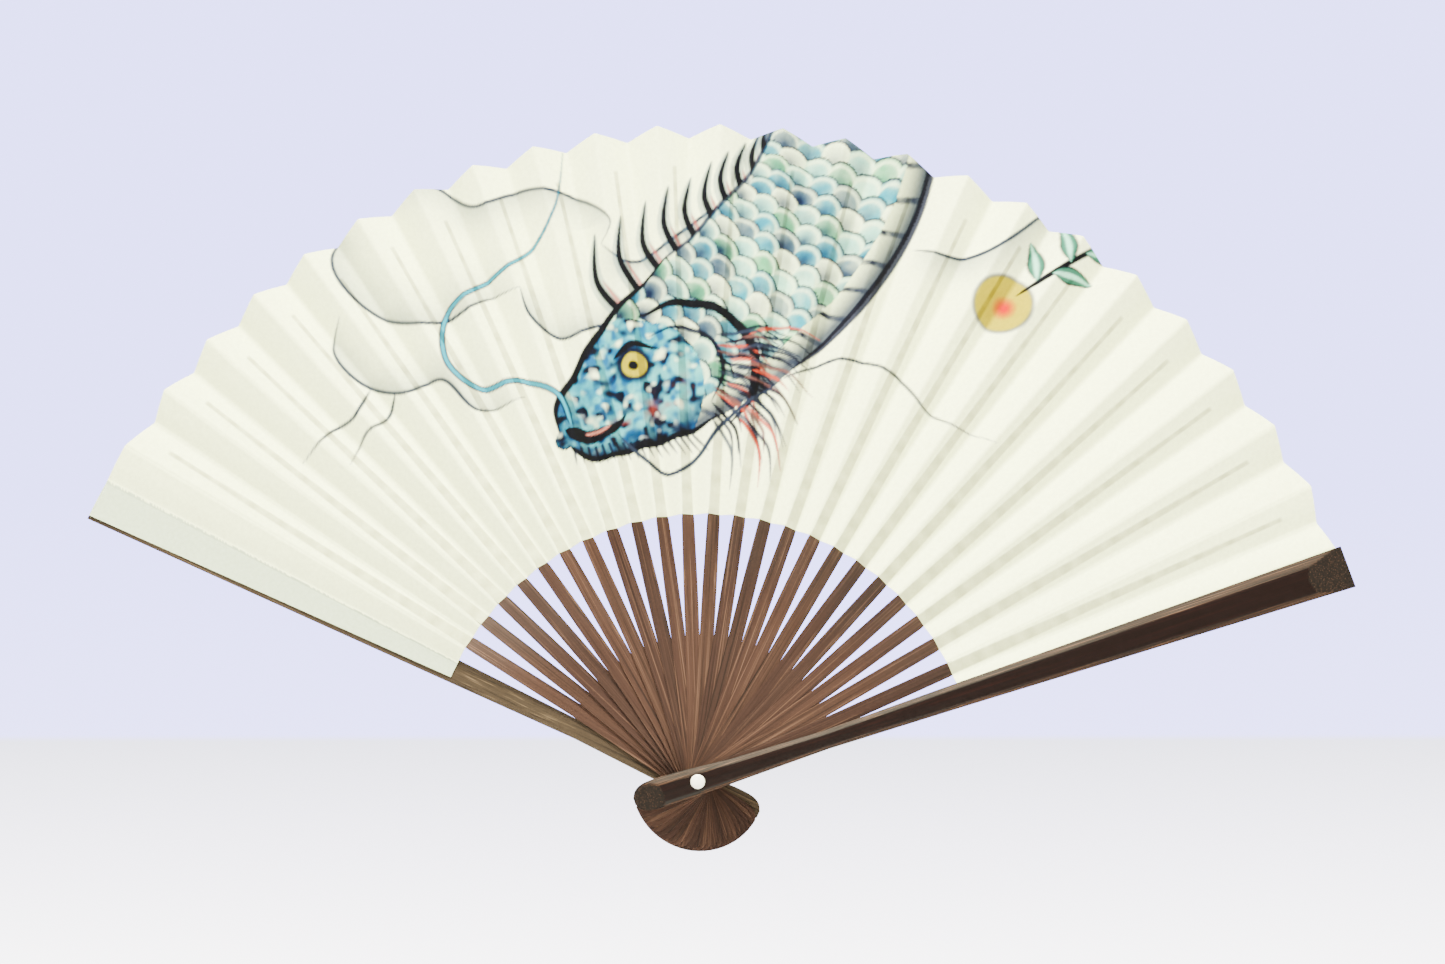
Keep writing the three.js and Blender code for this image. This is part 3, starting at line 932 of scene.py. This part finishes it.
def sampled(paint, x, z):
    """The paint at those places, blended between cells, and bare paper outside the picture."""
    rows, columns = paint.shape[:2]
    i, j = (z - PICTURE_BOTTOM) / CELL, (x - PICTURE_LEFT) / CELL
    outside = (i < 0) | (j < 0) | (i > rows - 2) | (j > columns - 2)
    i, j = np.clip(i, 0, rows - 2), np.clip(j, 0, columns - 2)
    i0, j0 = i.astype(int), j.astype(int)
    a, b = (i - i0)[:, None], (j - j0)[:, None]
    lower = paint[i0, j0] * (1 - b) + paint[i0, j0 + 1] * b
    upper = paint[i0 + 1, j0] * (1 - b) + paint[i0 + 1, j0 + 1] * b
    return np.where(outside[:, None], 1, lower * (1 - a) + upper * a)


PAPER_COLOUR = "#f1f7ca"
# Painted shade of a slip seen through the thin paper
SLIP_SHADE_COLOUR = "#b7b4b3"
# Painted shade of the back guard seen through the paper of the end pleat
GUARD_SHADE_COLOUR = "#b9c0cf"
RIB_TONES = [
    ("#130907", "#2c1b16", "#4f392e"),
    ("#120806", "#281814", "#49342a"),
    ("#150a08", "#311f19", "#573f33"),
    ("#110806", "#261713", "#453128"),
    ("#140a07", "#2e1d17", "#523b30"),
]


def colour_leaf(k, piece, paint):
    """Colours a pleat's points: the paper, with painted shade where a slip or the back guard lies behind it,
    and the painted face.
    """
    mesh = piece.data
    points = points_of(mesh) / MM
    behind = np.zeros(len(points))
    mesh.attributes["behind"].data.foreach_get("value", behind)
    mesh.attributes.remove(mesh.attributes["behind"])
    angle = np.arctan2(points[:, 2], points[:, 0])
    reach = np.hypot(points[:, 0], points[:, 2])
    # Painted shade along each slip behind the paper, with a slow ripple
    ripple = np.sin(reach * 0.9 + k) * np.sin(reach * 0.23 + 2 * k)
    stick_shade = slip_share(k, angle, reach) * (0.84 + 0.16 * ripple)
    # On the back guard's pleat, painted shade over the whole strip glued on the guard
    if k == 0:
        stick_shade = (angle > fold_line(0, -1)[0]).astype(float)
    colours = np.tile(np.array(linear(PAPER_COLOUR)), (len(points), 1))
    shade_tint = np.array(linear(GUARD_SHADE_COLOUR if k == 0 else SLIP_SHADE_COLOUR))
    colours = colours * (1 - stick_shade[:, None] * (1 - shade_tint))
    colours[:, :3] *= np.where(behind[:, None] < 0.5, sampled(paint, points[:, 0], points[:, 2]), 1)
    colours[:, 3] = 1
    # The colours hold the paper, its painted shade over the sticks, and the picture
    picture = mesh.color_attributes.new("picture", "FLOAT_COLOR", "POINT")
    picture.data.foreach_set("color", colours.astype(np.float32).ravel())


# The pieces
for k in range(1, FRONT):
    rib = make_rib(k)
    tones = RIB_TONES[(k * 7) % 5]
    rib.data.materials.append(smoked_bamboo(f"smoked_bamboo_{k:02d}", stick_angle(k), *tones))
    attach(rib, stick_body(k))
    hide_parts(stick_body(k))

for k, name in ((FRONT, "lacquered_front_guard"), (0, "lacquered_back_guard")):
    guard = make_guard(k, name)
    angle = stick_angle(k)
    guard.data.materials.append(dark_lacquer(f"lacquer_{stick_body(k)}", angle))
    guard.data.materials.append(shaved_bamboo(f"shaved_bamboo_{stick_body(k)}", angle))
    guard.data.materials.append(end_grain(f"end_grain_{stick_body(k)}"))
    guard.data.materials.append(
        smoked_bamboo(f"split_face_{stick_body(k)}", angle, "#17100b", "#2e241b", "#4e3f30")
    )
    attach(guard, stick_body(k))
    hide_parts(stick_body(k))

rivet = make_rivet()
rivet.data.materials.append(white_plastic("white_plastic"))
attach(rivet, "front_guard")
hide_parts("rivet")

paper = painted_paper("mulberry_paper")
paint = paint_picture()
for k in range(FRONT + 1):
    pleat = make_pleat(k)
    pleat.data.materials.append(paper)
    colour_leaf(k, pleat, paint)
    hang_pleat(k, pleat)
    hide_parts(f"leaf_pleat_{k:02d}")
    flat, area = flat_size(k)


# Stage
TABLE_UP = (-0.0586, -0.1225, 0.9907)
GLOW = 0.5
BACKDROP = 7.0
WALL = "#abaaee"
FLOOR_RADIUS = 1.3
FLOOR_HEIGHT = -0.16
FOCAL_LENGTH = 83.64
SENSOR_WIDTH = 36
CAMERA_PLACE = (0.02112, -0.99811, -0.1074)
CAMERA_TURN = (101.335, -3.387, 0.432)  # degrees


def make_floor():
    """A level, pale studio floor, under the fan that a hand would hold up."""
    bm = bmesh.new()
    bmesh.ops.create_circle(bm, cap_ends=True, segments=96, radius=FLOOR_RADIUS)
    bmesh.ops.translate(bm, verts=bm.verts[:], vec=(0, 0, FLOOR_HEIGHT))
    mesh = bpy.data.meshes.new("floor")
    bm.to_mesh(mesh)
    bm.free()
    floor = new_object("floor", mesh)
    material, _, shader = new_material("floor_card", Roughness=0.9)
    shader.inputs["Base Color"].default_value = linear("#e6e6ea")
    floor.data.materials.append(material)


def make_light(name, place, target, size, power, colour="#ffffff"):
    lamp = bpy.data.lights.new(name, "AREA")
    lamp.shape = "DISK"
    lamp.size = size
    lamp.energy = power
    lamp.color = linear(colour)[:3]
    light = bpy.data.objects.new(name, lamp)
    bpy.context.scene.collection.objects.link(light)
    light.location = place
    direction = np.array(target) - np.array(place)
    light.rotation_euler = Vector(direction).to_track_quat("-Z", "Y").to_euler()
    return light


def make_world():
    """A pale lavender wall behind a white table top with painted shade towards the wall, and a dimmer,
    neutral glow that lights the fan.
    """
    world = bpy.data.worlds.new("studio")
    bpy.context.scene.world = world
    world.use_nodes = True
    tree = world.node_tree
    glow = tree.nodes["Background"]
    glow.inputs["Color"].default_value = linear("#fffae6")
    glow.inputs["Strength"].default_value = GLOW
    direction = add(tree, "ShaderNodeTexCoord").outputs["Generated"]
    height = add(tree, "ShaderNodeVectorMath", {0: direction, 1: TABLE_UP}, operation="DOT_PRODUCT")
    level = add(
        tree, "ShaderNodeMapRange", {"Value": height.outputs["Value"], "From Min": -0.07, "From Max": 0.07}
    )
    # The table top is painted greyer towards the wall: painted shade
    ramp = add(
        tree,
        "ShaderNodeValToRGB",
        {"Fac": level.outputs["Result"]},
        ramp=[(0.0, "#fffcff"), (0.25, "#dcd9e6"), (0.49, "#b4b4c2"), (0.502, "#b0aef0"), (1.0, "#a5a3ea")],
    )
    backdrop = add(tree, "ShaderNodeBackground")
    seen = add(tree, "ShaderNodeLightPath").outputs["Is Camera Ray"]
    across = add(tree, "ShaderNodeSeparateXYZ", {"Vector": direction}).outputs["Y"]
    ahead = add(tree, "ShaderNodeMapRange", {"Value": across, "From Min": 0.7, "From Max": 0.85})
    room = add(tree, "ShaderNodeMix", {0: ahead.outputs["Result"], 6: linear(WALL)}, data_type="RGBA")
    tree.links.new(ramp.outputs["Color"], room.inputs[7])
    backdrop.inputs["Strength"].default_value = BACKDROP
    tree.links.new(room.outputs[2], backdrop.inputs["Color"])
    both = add(
        tree,
        "ShaderNodeMixShader",
        {0: seen, 1: glow.outputs["Background"], 2: backdrop.outputs["Background"]},
    )
    tree.links.new(both.outputs["Shader"], tree.nodes["World Output"].inputs["Surface"])


def make_camera():
    lens = bpy.data.cameras.new("camera")
    lens.lens = FOCAL_LENGTH
    lens.sensor_width = SENSOR_WIDTH
    camera = bpy.data.objects.new("camera", lens)
    bpy.context.scene.collection.objects.link(camera)
    camera.location = CAMERA_PLACE
    camera.rotation_euler = [math.radians(a) for a in CAMERA_TURN]
    bpy.context.scene.camera = camera


make_camera()
make_floor()
make_world()
make_light("key", (-0.2, -0.7, 1.5), (0, 0, 0.12), 0.5, 235, "#fdfde2")
make_light("left_fill", (-1.5, -1.3, 0.1), (0, 0, 0.1), 1.3, 38, "#fcfce2")
make_light("right_fill", (1.6, -1.2, 0.0), (0, 0, 0.1), 1.3, 48, "#fcfce2")
make_light("back_fill", (0.5, 1.7, 1.2), (0, 0, 0.1), 1.3, 60, "#fffbe8")
